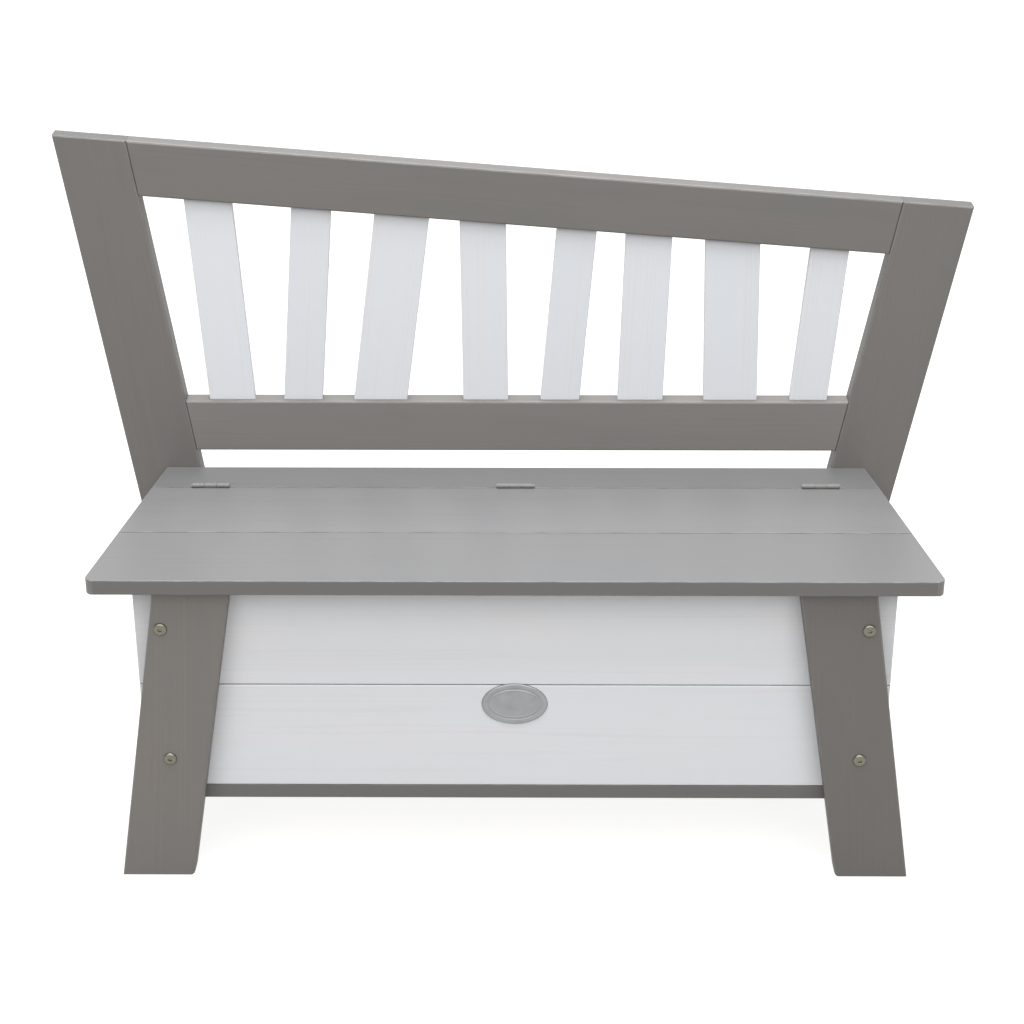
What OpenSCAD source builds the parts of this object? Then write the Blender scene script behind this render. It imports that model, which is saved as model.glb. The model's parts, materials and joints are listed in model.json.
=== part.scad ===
// Toy storage bench: a lidded box on splayed legs with a crooked slatted back.
// Millimetres. +Z is up, +Y points to the back, +X to the right of someone facing the bench.
// The origin lies on the floor, under the middle of the whole bench.

/* [Overall] */
// Height of the seat's top face above the floor
seat_h = 360; // [320:1:400]
// Width across the top corners of the back
overall_w = 970; // [930:1:1010]
// Height of the back's top corner on the left
back_left_h = 738; // [710:1:790]
// Height of the back's top corner on the right
back_right_h = 661; // [640:1:700]

/* [Seat and lid] */
// Width of the lid along its front edge
seat_front_w = 864; // [800:1:900]
// Thickness of the seat boards
seat_t = 16; // [14:0.5:20]
// Depth of each of the lid's two planks
lid_plank_d = 113; // [100:0.5:130]
// Depth of the fixed strip behind the lid
strip_d = 55.2; // [44:0.1:70]
// Gap between the lid and the fixed strip
hinge_gap = 0.8; // [0.6:0.1:2]
// How far the lid's front edge stands in front of the legs
lid_overhang = 12; // [4:1:20]
// Radius of the lid's two front corners, seen from above
lid_corner_r = 10; // [4:0.5:14]
// Radius of the fixed strip's two rear corners, seen from above
strip_corner_r = 6; // [3:0.5:10]
// Width of each batten under the lid
lid_batten_w = 40; // [30:1:60]
// Thickness of each batten under the lid
lid_batten_t = 18; // [14:1:24]
// Space kept between the lid battens and the box walls
lid_batten_clear = 17; // [12:1:30]
// Distance of the outer lid battens from the middle
lid_batten_x = 240; // [150:1:290]

/* [Box] */
// Width of the box
box_w = 780; // [740:1:790]
// Thickness of the box's wall planks
panel_t = 18; // [15:0.5:22]
// Height of each of the two planks in a wall
wall_plank_h = 121; // [105:1:130]
// Open seam between two planks
plank_gap = 1; // [0.5:0.1:2]
// Thickness of the bottom planks
bottom_t = 16.5; // [12:0.5:20]
// Side of the square battens in the corners
batten_w = 24; // [20:1:34]
// Side of the square ledge under the fixed strip
ledge_w = 24; // [20:1:28]
// Length of the tongue on a plank's edge
tongue_l = 5; // [3:0.5:7]
// Thickness of the tongue on a plank's edge
tongue_t = 5; // [4:0.5:6]

/* [Front legs] */
// Thickness of the legs
leg_t = 22; // [18:1:28]
// Width of a leg at its top
leg_top_w = 78; // [70:1:90]
// Width of a leg at its foot
leg_foot_w = 77; // [66:1:90]
// Distance from the box's side to the leg's top outer corner
leg_inset = 25; // [14:0.5:28]
// How far the foot stands outside the leg's top
leg_splay = 55.5; // [30:0.5:80]
// Radius of the foot's inner corner
foot_r = 8; // [3:1:14]

/* [Back] */
// Thickness of the posts and rails
post_t = 22; // [18:1:28]
// Width of a post
post_w = 75.5; // [64:0.5:84]
// Distance from the middle to a post's outer edge, at seat height
post_half = 428.5; // [418:0.5:440]
// Width of the top rail and the lower rail
rail_w = 59; // [50:1:66]
// Open gap between the seat and the lower rail
rail_gap = 20; // [10:1:40]
// Thickness of the slats
slat_t = 8; // [6:0.5:10]
// How deep a slat stands in each rail
tenon_l = 15; // [10:1:18]
// Width of each slat, from left to right
slat_w = [50.5, 42.5, 58.5, 49.5, 43, 50, 59, 41.5]; // [36:0.5:60]
// Lean of each slat to the right, in degrees, from left to right
slat_lean = [-3.6, 4.5, 7.6, -0.6, 4.8, 1.6, -1.4, 4.5]; // [-8:0.1:8]
// Place of each slat's foot along the lower rail, as a share of the open width
slat_place = [0.07, 0.177, 0.294, 0.453, 0.565, 0.686, 0.822, 0.94]; // [0.06:0.001:0.945]

/* [Hinges] */
// Length of a hinge
hinge_l = 40; // [32:1:50]
// Distance of the outer hinges from the middle
hinge_x = 333.5; // [305:0.5:345]
// Height of a hinge leaf below its knuckle
leaf_h = 12; // [10:0.5:13]
// Thickness of a hinge leaf
leaf_t = 1.2; // [1:0.1:1.6]
// Outer radius of the knuckles
knuckle_r = 2.5; // [2.3:0.1:3]
// Radius of the hinge pin
pin_r = 1.25; // [1:0.05:1.5]

/* [Fasteners and badge] */
// Radius of the bolts' shanks
bolt_r = 3; // [2.5:0.5:4]
// Radius of the bolts' domed heads
bolt_head_r = 7; // [5:0.5:8]
// Height of the bolts' domed heads
bolt_head_h = 3; // [2.5:0.1:4.5]
// Distance of the bolts from the wall's top and bottom edges
bolt_edge = 45; // [30:1:55]
// Radius of the threaded inserts
insert_r = 5; // [4.5:0.5:7]
// Length of the threaded inserts
insert_l = 15; // [10:1:18]
// Radius of the wood screws' shanks
screw_r = 2; // [1.5:0.25:2.5]
// Radius of the small screws' shanks
small_screw_r = 1.5; // [1:0.25:1.75]
// Radius of the wooden dowels
dowel_r = 4; // [3:0.5:5]
// Length of the wooden dowels
dowel_l = 36; // [24:1:40]
// Width of the oval badge
badge_w = 69; // [50:1:90]
// Height of the oval badge
badge_h = 48; // [36:1:60]
// Thickness of the badge at its rim
badge_t = 2; // [1.5:0.5:4]
// How far the badge's top stands over the seam between the front planks
badge_over_seam = 2; // [0:0.5:6]

/* [Finish] */
// Radius of the eased edges of the thick boards
ease_r = 2; // [1:0.25:3]
// Radius of the eased edges of the planks and slats
soft_r = 1; // [0.5:0.25:1.5]

/* [Hidden] */
$fn = 48;

left = -1;
right = 1;
grey = "#7a7773";
white = "#dfe1e4";
pine = "#c9a877";
zinc = "#b9b7ad";

// Clearances
fit = 0.1;          // round a dowel, screw or bolt in its own hole
run_fit = 0.05;     // round a hinge pin in its knuckle
slot_fit = 0.2;     // round a tongue or a slat in its slot
joint_gap = 0.2;    // between a rail's end and its post
over = 1;           // how far a cutter reaches past what it cuts
end_ease = 0.8;     // how much less a board is sanded at its ends
corner_bite = 1.02; // a rounded corner meets the board's sides at a slight angle
outside = 1.5;      // how far a corner's waste reaches, as a share of the corner

// Arrises at the ends of boards
end_r = ease_r * end_ease;
soft_end_r = soft_r * end_ease;

// Heights
lid_low = seat_h - seat_t;
box_top = lid_low;
wall_h = 2 * wall_plank_h + plank_gap;
box_low = box_top - wall_h;
seam_z = box_low + wall_plank_h;
bolt_z = [box_low + bolt_edge, box_top - bolt_edge];

// Depths, from the lid's front edge to the bolt heads behind the posts
lid_d = 2 * lid_plank_d + plank_gap;
seat_d = lid_d + hinge_gap + strip_d;
overall_d = seat_d + post_t + bolt_head_h;
front_y = -overall_d / 2;
leg_y = front_y + lid_overhang;
wall_y = leg_y + leg_t;
strip_y = front_y + lid_d + hinge_gap;
back_y = front_y + seat_d;
box_d = back_y - wall_y;
side_y = wall_y + panel_t;
side_l = box_d - 2 * panel_t;
ledge_y = back_y - panel_t - ledge_w;
slat_y = back_y + (post_t - slat_t) / 2;
lid_seam_y = front_y + lid_plank_d;
lid_batten_y = [side_y + lid_batten_clear, ledge_y - lid_batten_clear];
bottom_plank_d = (box_d - plank_gap) / 2;

// Hinge line: the knuckles lie in the V between the arrises of the lid and the strip
hinge_y = front_y + lid_d + hinge_gap / 2;
knuckle_clear = 0.2;    // between the knuckles and the boards
knuckle_gap = 0.4;      // between one knuckle and the next, and over the other leaf
leaf_play = 0.1;        // from each leaf to the plane halfway between the two
hinge_z = seat_h - soft_r
    + sqrt(pow(knuckle_r + soft_r + knuckle_clear, 2) - pow(hinge_gap / 2 + soft_r, 2));
hinge_places = [-hinge_x, 0, hinge_x];
knuckle_l = hinge_l / 3;
mortise_d = leaf_play + leaf_t - hinge_gap / 2;
leaf_low = seat_h - leaf_h;
leaf_high = hinge_z - knuckle_r - knuckle_gap;
pin_head_r = 2;
pin_head_t = 0.8;
hinge_screw_edge = 8;
hinge_screw_x = hinge_l / 2 - hinge_screw_edge;
hinge_screw_z = (leaf_low + leaf_high) / 2;
hinge_screw_l = 14;

// Box corners
batten_x = box_w / 2 - panel_t - batten_w / 2;
side_screw_x = box_w / 2 - panel_t / 2;

// Screws, bolts and dowels
screw_edge = 20;
bite = 2 / 3;       // share of the last board that a screw's end enters
end_bite = 22;      // how far a screw enters the edge of a board
bottom_screw_x = 260;
bottom_screw_l = bottom_t + end_bite;
batten_screw_z = [box_low + wall_plank_h / 2, box_top - wall_plank_h / 2];
panel_screw_z = [box_low + screw_edge, seam_z - screw_edge,
    seam_z + plank_gap + screw_edge, box_top - screw_edge];
batten_screw_l = batten_w + panel_t * bite;
ledge_pitch = 160;
strip_screw_l = ledge_w + seat_t * bite;
ledge_screw_l = ledge_w + panel_t * bite;
lid_screw_edge = 12;
lid_screw_y = [lid_batten_y[0] + lid_screw_edge, lid_seam_y - lid_screw_edge,
    lid_seam_y + plank_gap + lid_screw_edge, lid_batten_y[1] - lid_screw_edge];
lid_screw_l = lid_batten_t + seat_t * bite;
shank_l = leg_t + panel_t + insert_l + over;
socket_r = 2.3;
socket_d = 1.8;
dowel_shares = [0.28, 0.72];

// Badge
badge_z = seam_z + plank_gap / 2 + badge_over_seam - badge_h / 2;
badge_rim = 6;
badge_field_d = 0.8;
badge_pin_l = 8;

// The back: the posts' outer edges, the top edge and the rails, all in the XZ plane
function post_top(side) = side == left ? back_left_h : back_right_h;
function post_slope(side) = (overall_w / 2 - post_half) / (post_top(side) - seat_h);
function post_in_half(side) = post_half - post_w / cos(atan(post_slope(side)));
function post_out_x(side, z) = side * (post_half + post_slope(side) * (z - seat_h));
function post_in_x(side, z) = side * (post_in_half(side) + post_slope(side) * (z - seat_h));
rail_slope = (back_right_h - back_left_h) / overall_w;
rail_lean = atan(rail_slope);
rail_mid_top = (back_left_h + back_right_h) / 2;
rail_mid_low = rail_mid_top - rail_w / cos(rail_lean);
lower_rail_low = seat_h + rail_gap;
lower_rail_top = lower_rail_low + rail_w;

// Where a line of this height at x = 0 and this slope meets a post's inner edge
function meet_x(side, mid_z, slope) = side * (post_in_half(side) + post_slope(side) * (mid_z - seat_h))
    / (1 - side * post_slope(side) * slope);
function meet(side, mid_z, slope) =
    let(x = meet_x(side, mid_z, slope)) [x, mid_z + slope * x];

// The slats, from the pocket in the lower rail to the pocket in the top rail
function slat_foot_x(i) = post_in_x(left, lower_rail_top)
    + slat_place[i] * (post_in_x(right, lower_rail_top) - post_in_x(left, lower_rail_top));
function slat_half(i, grow) = (slat_w[i] / 2 + grow) / cos(slat_lean[i]);
function slat_edge_x(i, z, shift) = slat_foot_x(i) + shift + tan(slat_lean[i]) * (z - lower_rail_top);
function slat_end_z(i, mid_z, slope, shift) =
    (mid_z + slope * (slat_foot_x(i) + shift - tan(slat_lean[i]) * lower_rail_top))
    / (1 - slope * tan(slat_lean[i]));
function slat_point(i, mid_z, slope, shift) =
    let(z = slat_end_z(i, mid_z, slope, shift)) [slat_edge_x(i, z, shift), z];
function slat_outline(i, grow, extra) =
    let(half = slat_half(i, grow),
        low = lower_rail_top - tenon_l - extra,
        high = rail_mid_low + (tenon_l + extra) / cos(rail_lean))
    [slat_point(i, low, 0, -half), slat_point(i, low, 0, half),
     slat_point(i, high, rail_slope, half), slat_point(i, high, rail_slope, -half)];

// The seat's side edge runs from the lid's front corner to the box's rear corner
function seat_half(y) = seat_front_w / 2 + (box_w - seat_front_w) / 2 * (y - front_y) / seat_d;

// Waste at one arris, in section: two narrow flats stand for the sanded rounding
module arris_waste(r) {
    middle = r * (1 - cos(45));
    reach = r + over * tan(67.5);
    polygon([[-over, -over], [reach, -over], [middle, middle], [-over, reach]]);
}

// Waste along both arrises of the edge that runs from a to b
module edge_waste(a, b, t, r) {
    run = norm(b - a);
    translate([a[0], a[1], 0])
        rotate([0, 0, atan2(b[1] - a[1], b[0] - a[0])])
            translate([-over, 0, 0])
                rotate([90, 0, 90])
                    linear_extrude(run + 2 * over) {
                        arris_waste(r);
                        translate([0, t])
                            mirror([0, 1])
                                arris_waste(r);
                    }
}

// Waste outside a rounded corner of a board, at b between a and c
module corner_waste(a, b, c, t, r) {
    to_a = (a - b) / norm(a - b);
    to_c = (c - b) / norm(c - b);
    half = acos(to_a * to_c) / 2;
    reach = r / tan(half);
    centre = b + (to_a + to_c) / norm(to_a + to_c) * (r / sin(half));
    translate([centre[0], centre[1], -over])
        linear_extrude(t + 2 * over)
            difference() {
                polygon(outside * [for (p = [centre, b + to_a * reach, b, b + to_c * reach]) p - centre]);
                circle(r * corner_bite);
            }
}

// A flat board from a four-sided outline, counter-clockwise, with its arrises eased
// along the first and third sides by one radius, and along the others by another
module board(outline, t, first_r, second_r) {
    difference() {
        linear_extrude(t)
            polygon(outline);
        for (i = [0 : 3])
            if ((i % 2 == 0 ? first_r : second_r) > 0)
                edge_waste(outline[i], outline[(i + 1) % 4], t, i % 2 == 0 ? first_r : second_r);
    }
}

// Stands a board drawn in X and Z upright, with its front face at y
module upright(y, t) {
    translate([0, y + t, 0])
        rotate([90, 0, 0])
            children();
}

// Stands a board drawn in Y and Z on edge, with its left face at x
module on_edge(x) {
    translate([x, 0, 0])
        rotate([90, 0, 90])
            children();
}

function rectangle(x0, z0, x1, z1) = [[x0, z0], [x1, z0], [x1, z1], [x0, z1]];
function in_order(side, points) = side == left ? points : [for (i = [3 : -1 : 0]) points[i]];

// Countersunk wood screw: its flat head at the origin, its point at -Z
module screw(l, r) {
    rotate_extrude()
        polygon([[0, 0], [2 * r, 0], [r, -r], [r, 2 * r - l], [0, -l]]);
}

// The hole that a screw fills, open above its head
module screw_hole(l, r) {
    rotate_extrude()
        polygon([[0, over], [2 * r + fit, over], [2 * r + fit, 0], [r + fit, -r],
            [r + fit, -l - fit], [0, -l - fit]]);
}

// Places on the inner faces of the front or the rear corner battens, out into the wall's planks
module panel_screw_places(in_front) {
    y = in_front ? side_y + batten_w : back_y - panel_t - batten_w;
    for (side = [left, right], z = panel_screw_z)
        translate([side * batten_x, y, z])
            rotate([in_front ? -90 : 90, 0, 0])
                children();
}

// Places under the bottom, with heads facing down
module bottom_screw_places(plank) {
    edge_y = plank == 0 ? wall_y + panel_t / 2 : back_y - panel_t / 2;
    middle_y = wall_y + bottom_plank_d / 2 + plank * (bottom_plank_d + plank_gap);
    places = [[-bottom_screw_x, edge_y], [0, edge_y], [bottom_screw_x, edge_y],
        [-side_screw_x, middle_y], [side_screw_x, middle_y]];
    for (place = places)
        translate([place[0], place[1], box_low - bottom_t])
            rotate([180, 0, 0])
                children();
}

// Places on the inner faces of a side's corner battens, out into the side's planks
module batten_screw_places(side) {
    for (y = [side_y + batten_w / 2, back_y - panel_t - batten_w / 2], z = batten_screw_z)
        translate([side * (batten_x - batten_w / 2), y, z])
            rotate([0, side == left ? 90 : -90, 0])
                children();
}

// Places under the ledge, up into the fixed strip
module strip_screw_places() {
    for (x = [-3, -1, 1, 3])
        translate([x * ledge_pitch / 2, ledge_y + ledge_w / 2, box_top - ledge_w])
            rotate([180, 0, 0])
                children();
}

// Places on the ledge's front, back into the rear wall
module ledge_screw_places() {
    for (x = [-1, 0, 1])
        translate([x * ledge_pitch, ledge_y, box_top - ledge_w / 2])
            rotate([90, 0, 0])
                children();
}

// Places under the lid battens, up into the lid's planks
module lid_screw_places() {
    for (x = [-lid_batten_x, 0, lid_batten_x], y = lid_screw_y)
        translate([x, y, lid_low - lid_batten_t])
            rotate([180, 0, 0])
                children();
}

// Places on a hinge leaf's inner face; lid leaves face back, fixed leaves face forward
module hinge_screw_places(on_lid) {
    y = hinge_y + (on_lid ? -leaf_play : leaf_play);
    for (place = hinge_places, step = [-1, 1])
        translate([place + step * hinge_screw_x, y, hinge_screw_z])
            rotate([on_lid ? -90 : 90, 0, 0])
                children();
}

// Bolt places on one face of the box, at one side, with heads facing out
module bolt_places(head_y, side) {
    for (z = bolt_z)
        translate([side * batten_x, head_y, z])
            rotate([head_y < 0 ? 90 : -90, 0, 0])
                children();
}

// Domed bolt with a hexagon socket: its head stands on the origin, its shank runs to -Z
module bolt() {
    dome_r = (bolt_head_r * bolt_head_r + bolt_head_h * bolt_head_h) / (2 * bolt_head_h);
    difference() {
        intersection() {
            cylinder(r = bolt_head_r, h = bolt_head_h);
            translate([0, 0, bolt_head_h - dome_r])
                sphere(dome_r, $fn = 64);
        }
        translate([0, 0, bolt_head_h - socket_d])
            cylinder(r = socket_r, h = socket_d + over, $fn = 6);
    }
    translate([0, 0, -shank_l])
        cylinder(r = bolt_r, h = shank_l);
}

module bolt_hole(l) {
    translate([0, 0, -l])
        cylinder(r = bolt_r + fit, h = l + over);
}

// Places of the dowels in one rail at one side, turned along the rail
module dowel_places(side, mid_low_z, slope) {
    for (share = dowel_shares) {
        point = meet(side, mid_low_z + share * rail_w, slope);
        translate([point[0], back_y + post_t / 2, point[1]])
            rotate([0, 90 - atan(slope), 0])
                children();
    }
}

// A dowel, or the hole for it with some room round it and twice as much at its ends
module dowel(grow) {
    cylinder(r = dowel_r + grow, h = dowel_l + 4 * grow, center = true);
}

module front_leg(side) {
    top_x = box_w / 2 - leg_inset;
    foot_x = top_x + leg_splay;
    inner_top = [top_x - leg_top_w, box_top];
    outer_top = [top_x, box_top];
    outer_foot = [foot_x, 0];
    inner_foot = [foot_x - leg_foot_w, 0];
    color(grey)
        mirror([side == left ? 1 : 0, 0, 0])
            difference() {
                upright(leg_y, leg_t)
                    difference() {
                        board([inner_foot, outer_foot, outer_top, inner_top], leg_t, end_r, ease_r);
                        corner_waste(outer_foot, inner_foot, inner_top, leg_t, foot_r);
                    }
                bolt_places(leg_y, right)
                    bolt_hole(leg_t + over);
            }
}

module rear_post(side) {
    outer_foot = [post_out_x(side, 0), 0];
    inner_foot = [post_in_x(side, 0), 0];
    inner_top = meet(side, rail_mid_top, rail_slope);
    outer_top = [post_out_x(side, post_top(side)), post_top(side)];
    outline = in_order(side, [outer_foot, inner_foot, inner_top, outer_top]);
    color(grey)
        difference() {
            upright(back_y, post_t)
                board(outline, post_t, end_r, ease_r);
            bolt_places(back_y + post_t, side)
                bolt_hole(post_t + over);
            dowel_places(side, rail_mid_low, rail_slope)
                dowel(fit);
            dowel_places(side, lower_rail_low, 0)
                dowel(fit);
        }
}

// A rail between the posts, with its dowel holes and a pocket for each slat
module rail(mid_low_z, slope) {
    mid_high_z = mid_low_z + rail_w / cos(atan(slope));
    gap = [joint_gap, 0];
    outline = [meet(left, mid_low_z, slope) + gap, meet(right, mid_low_z, slope) - gap,
        meet(right, mid_high_z, slope) - gap, meet(left, mid_high_z, slope) + gap];
    color(grey)
        difference() {
            upright(back_y, post_t)
                board(outline, post_t, ease_r, soft_r);
            upright(slat_y - slot_fit, slat_t + 2 * slot_fit)
                for (i = [0 : len(slat_w) - 1])
                    linear_extrude(slat_t + 2 * slot_fit)
                        polygon(slat_outline(i, slot_fit, slot_fit));
            for (side = [left, right])
                dowel_places(side, mid_low_z, slope)
                    dowel(fit);
        }
}

module slat(i) {
    color(white)
        upright(slat_y, slat_t)
            board(slat_outline(i, 0, 0), slat_t, 0, soft_r);
}

// One plank of the front or rear wall, with a groove below or a tongue above
module wall_plank(face_y, low_z, is_upper) {
    front = face_y == wall_y;
    y = front ? wall_y : back_y - panel_t;
    outline = rectangle(-box_w / 2, low_z, box_w / 2, low_z + wall_plank_h);
    color(white)
        difference() {
            union() {
                upright(y, panel_t)
                    board(outline, panel_t, soft_r, soft_end_r);
                if (!is_upper)
                    translate([-box_w / 2, y + (panel_t - tongue_t) / 2, seam_z - over])
                        cube([box_w, tongue_t, tongue_l + plank_gap + over]);
            }
            if (is_upper)
                translate([-box_w / 2 - over, y + (panel_t - tongue_t) / 2 - slot_fit, low_z - over])
                    cube([box_w + 2 * over, tongue_t + 2 * slot_fit, tongue_l + over + slot_fit]);
            for (side = [left, right])
                bolt_places(front ? leg_y : back_y + post_t, side)
                    bolt_hole(leg_t + post_t + panel_t);
            panel_screw_places(front)
                screw_hole(batten_screw_l, screw_r);
            if (!is_upper)
                bottom_screw_places(front ? 0 : 1)
                    screw_hole(bottom_screw_l, screw_r);
            if (is_upper && !front)
                ledge_screw_places()
                    screw_hole(ledge_screw_l, screw_r);
            if (!is_upper && front)
                badge_pins(fit);
        }
}

// One plank of a side wall, held between the front and rear walls
module side_plank(side, low_z, is_upper) {
    x = side == left ? -box_w / 2 : box_w / 2 - panel_t;
    outline = rectangle(side_y, low_z, side_y + side_l, low_z + wall_plank_h);
    color(white)
        difference() {
            union() {
                on_edge(x)
                    board(outline, panel_t, soft_r, 0);
                if (!is_upper)
                    translate([x + (panel_t - tongue_t) / 2, side_y, seam_z - over])
                        cube([tongue_t, side_l, tongue_l + plank_gap + over]);
            }
            if (is_upper)
                translate([x + (panel_t - tongue_t) / 2 - slot_fit, side_y - over, low_z - over])
                    cube([tongue_t + 2 * slot_fit, side_l + 2 * over, tongue_l + over + slot_fit]);
            batten_screw_places(side)
                screw_hole(batten_screw_l, screw_r);
            if (!is_upper)
                for (plank = [0, 1])
                    bottom_screw_places(plank)
                        screw_hole(bottom_screw_l, screw_r);
        }
}

module bottom_plank(plank) {
    y = wall_y + plank * (bottom_plank_d + plank_gap);
    tongue_z = box_low - bottom_t / 2 - tongue_t / 2;
    outline = rectangle(-box_w / 2, y, box_w / 2, y + bottom_plank_d);
    color(grey)
        difference() {
            union() {
                translate([0, 0, box_low - bottom_t])
                    board(outline, bottom_t, soft_r, soft_end_r);
                if (plank == 1)
                    translate([-box_w / 2, y - plank_gap - tongue_l, tongue_z])
                        cube([box_w, tongue_l + plank_gap + over, tongue_t]);
            }
            if (plank == 0)
                translate([-box_w / 2 - over, y + bottom_plank_d - tongue_l, tongue_z])
                    translate([0, -slot_fit, -slot_fit])
                        cube([box_w + 2 * over, tongue_l + slot_fit + over, tongue_t + 2 * slot_fit]);
            bottom_screw_places(plank)
                screw_hole(bottom_screw_l, screw_r);
        }
}

// A square batten in a corner of the box, bored for the threaded inserts
module corner_batten(side, is_front) {
    y = is_front ? side_y : back_y - panel_t - batten_w;
    color(pine)
        difference() {
            translate([side * batten_x - batten_w / 2, y, box_low])
                cube([batten_w, batten_w, wall_h]);
            bolt_places(is_front ? side_y : back_y - panel_t, side)
                translate([0, 0, -insert_l - 2 * over])
                    cylinder(r = insert_r + fit, h = insert_l + 3 * over);
            batten_screw_places(side)
                screw_hole(batten_screw_l, screw_r);
            panel_screw_places(is_front)
                screw_hole(batten_screw_l, screw_r);
        }
}

module strip_ledge() {
    half = batten_x - batten_w / 2 - joint_gap;
    color(pine)
        difference() {
            translate([-half, ledge_y, box_top - ledge_w])
                cube([2 * half, ledge_w, ledge_w]);
            strip_screw_places()
                screw_hole(strip_screw_l, screw_r);
            ledge_screw_places()
                screw_hole(ledge_screw_l, screw_r);
        }
}

// A seat board between two depths, its ends on the seat's slanting sides
function seat_outline(y0, y1) =
    [[-seat_half(y0), y0], [seat_half(y0), y0], [seat_half(y1), y1], [-seat_half(y1), y1]];

module seat_rear_strip() {
    outline = seat_outline(strip_y, back_y);
    color(grey)
        difference() {
            translate([0, 0, lid_low])
                difference() {
                    board(outline, seat_t, soft_r, soft_end_r);
                    corner_waste(outline[1], outline[2], outline[3], seat_t, strip_corner_r);
                    corner_waste(outline[2], outline[3], outline[0], seat_t, strip_corner_r);
                }
            strip_screw_places()
                screw_hole(strip_screw_l, screw_r);
            hinge_mortises(false);
            hinge_screw_places(false)
                screw_hole(hinge_screw_l, small_screw_r);
        }
}

module lid_front_plank() {
    outline = seat_outline(front_y, lid_seam_y);
    color(grey)
        difference() {
            translate([0, 0, lid_low])
                difference() {
                    board(outline, seat_t, soft_r, soft_end_r);
                    corner_waste(outline[3], outline[0], outline[1], seat_t, lid_corner_r);
                    corner_waste(outline[0], outline[1], outline[2], seat_t, lid_corner_r);
                }
            lid_tongue(slot_fit);
            lid_screw_places()
                screw_hole(lid_screw_l, screw_r);
        }
}

module lid_rear_plank() {
    y = lid_seam_y + plank_gap;
    color(grey)
        difference() {
            union() {
                translate([0, 0, lid_low])
                    board(seat_outline(y, front_y + lid_d), seat_t, soft_r, soft_end_r);
                lid_tongue(0);
            }
            lid_screw_places()
                screw_hole(lid_screw_l, screw_r);
            hinge_mortises(true);
            hinge_screw_places(true)
                screw_hole(hinge_screw_l, small_screw_r);
        }
}

// The tongue between the lid's planks, stopped short of the lid's sides
module lid_tongue(grow) {
    half = seat_half(lid_seam_y) - 2 * tongue_l + grow;
    translate([-half, lid_seam_y - tongue_l - grow, lid_low + seat_t / 2 - tongue_t / 2 - grow])
        cube([2 * half, tongue_l + plank_gap + 2 * over, tongue_t + 2 * grow]);
}

module lid_batten(x) {
    half = lid_batten_w / 2;
    color(pine)
        difference() {
            translate([0, 0, lid_low - lid_batten_t])
                board(rectangle(x - half, lid_batten_y[0], x + half, lid_batten_y[1]),
                    lid_batten_t, soft_end_r, soft_r);
            lid_screw_places()
                screw_hole(lid_screw_l, screw_r);
        }
}

// Shallow mortises for the hinge leaves, in the edge of the lid or of the fixed strip
module hinge_mortises(on_lid) {
    edge_y = hinge_y + (on_lid ? -1 : 1) * hinge_gap / 2;
    for (place = hinge_places)
        translate([place - hinge_l / 2 - fit, edge_y - (on_lid ? mortise_d : over), leaf_low - fit])
            cube([hinge_l + 2 * fit, mortise_d + over, leaf_h + fit + over]);
}

// One knuckle of a hinge along X, between two shares of the hinge's length
module knuckle(from, to) {
    start = from == 0 ? 0 : knuckle_gap / 2;
    stop = to == 3 ? 0 : knuckle_gap / 2;
    translate([from * knuckle_l + start, 0, 0])
        rotate([0, 90, 0])
            cylinder(r = knuckle_r, h = (to - from) * knuckle_l - start - stop);
}

// A hinge leaf drawn round the pin's axis: the fixed leaf has the outer knuckles, the lid's the middle one
module hinge_leaf(on_lid) {
    y = on_lid ? -leaf_play - leaf_t : leaf_play;
    low = leaf_low - hinge_z;
    high = leaf_high - hinge_z;
    spans = on_lid ? [[1, 2]] : [[0, 1], [2, 3]];
    difference() {
        union() {
            translate([0, y, low])
                cube([hinge_l, leaf_t, high - low]);
            for (span = spans) {
                knuckle(span[0], span[1]);
                translate([span[0] * knuckle_l + (span[0] == 0 ? 0 : knuckle_gap / 2), y, high - over])
                    cube([knuckle_l - (on_lid ? knuckle_gap : knuckle_gap / 2), leaf_t, over - high]);
            }
        }
        translate([-over, 0, 0])
            rotate([0, 90, 0])
                cylinder(r = pin_r + run_fit, h = hinge_l + 2 * over);
    }
}

module hinge_leaves(on_lid) {
    color(zinc)
        difference() {
            for (place = hinge_places)
                translate([place - hinge_l / 2, hinge_y, hinge_z])
                    hinge_leaf(on_lid);
            hinge_screw_places(on_lid)
                screw_hole(hinge_screw_l, small_screw_r);
        }
}

module hinge_pins() {
    color(zinc)
        for (place = hinge_places)
            translate([place - hinge_l / 2, hinge_y, hinge_z])
                rotate([0, 90, 0]) {
                    cylinder(r = pin_r, h = hinge_l);
                    translate([0, 0, -pin_head_t])
                        cylinder(r = pin_head_r, h = pin_head_t);
                    translate([0, 0, hinge_l])
                        cylinder(r = pin_head_r, h = pin_head_t);
                }
}

module hinge_screws(on_lid) {
    color(zinc)
        hinge_screw_places(on_lid)
            screw(hinge_screw_l, small_screw_r);
}

module lid_batten_screws() {
    color(zinc)
        lid_screw_places()
            screw(lid_screw_l, screw_r);
}

module bolts(head_y) {
    color(zinc)
        for (side = [left, right])
            bolt_places(head_y, side)
                bolt();
}

module threaded_inserts() {
    color(zinc)
        for (side = [left, right], face_y = [side_y, back_y - panel_t])
            bolt_places(face_y, side)
                translate([0, 0, -insert_l])
                    difference() {
                        cylinder(r = insert_r, h = insert_l);
                        translate([0, 0, -over])
                            cylinder(r = bolt_r + run_fit, h = insert_l + 2 * over);
                    }
}

module panel_screws() {
    color(zinc)
        for (in_front = [true, false])
            panel_screw_places(in_front)
                screw(batten_screw_l, screw_r);
}

module batten_screws() {
    color(zinc)
        for (side = [left, right])
            batten_screw_places(side)
                screw(batten_screw_l, screw_r);
}

module bottom_screws() {
    color(zinc)
        for (plank = [0, 1])
            bottom_screw_places(plank)
                screw(bottom_screw_l, screw_r);
}

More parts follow.
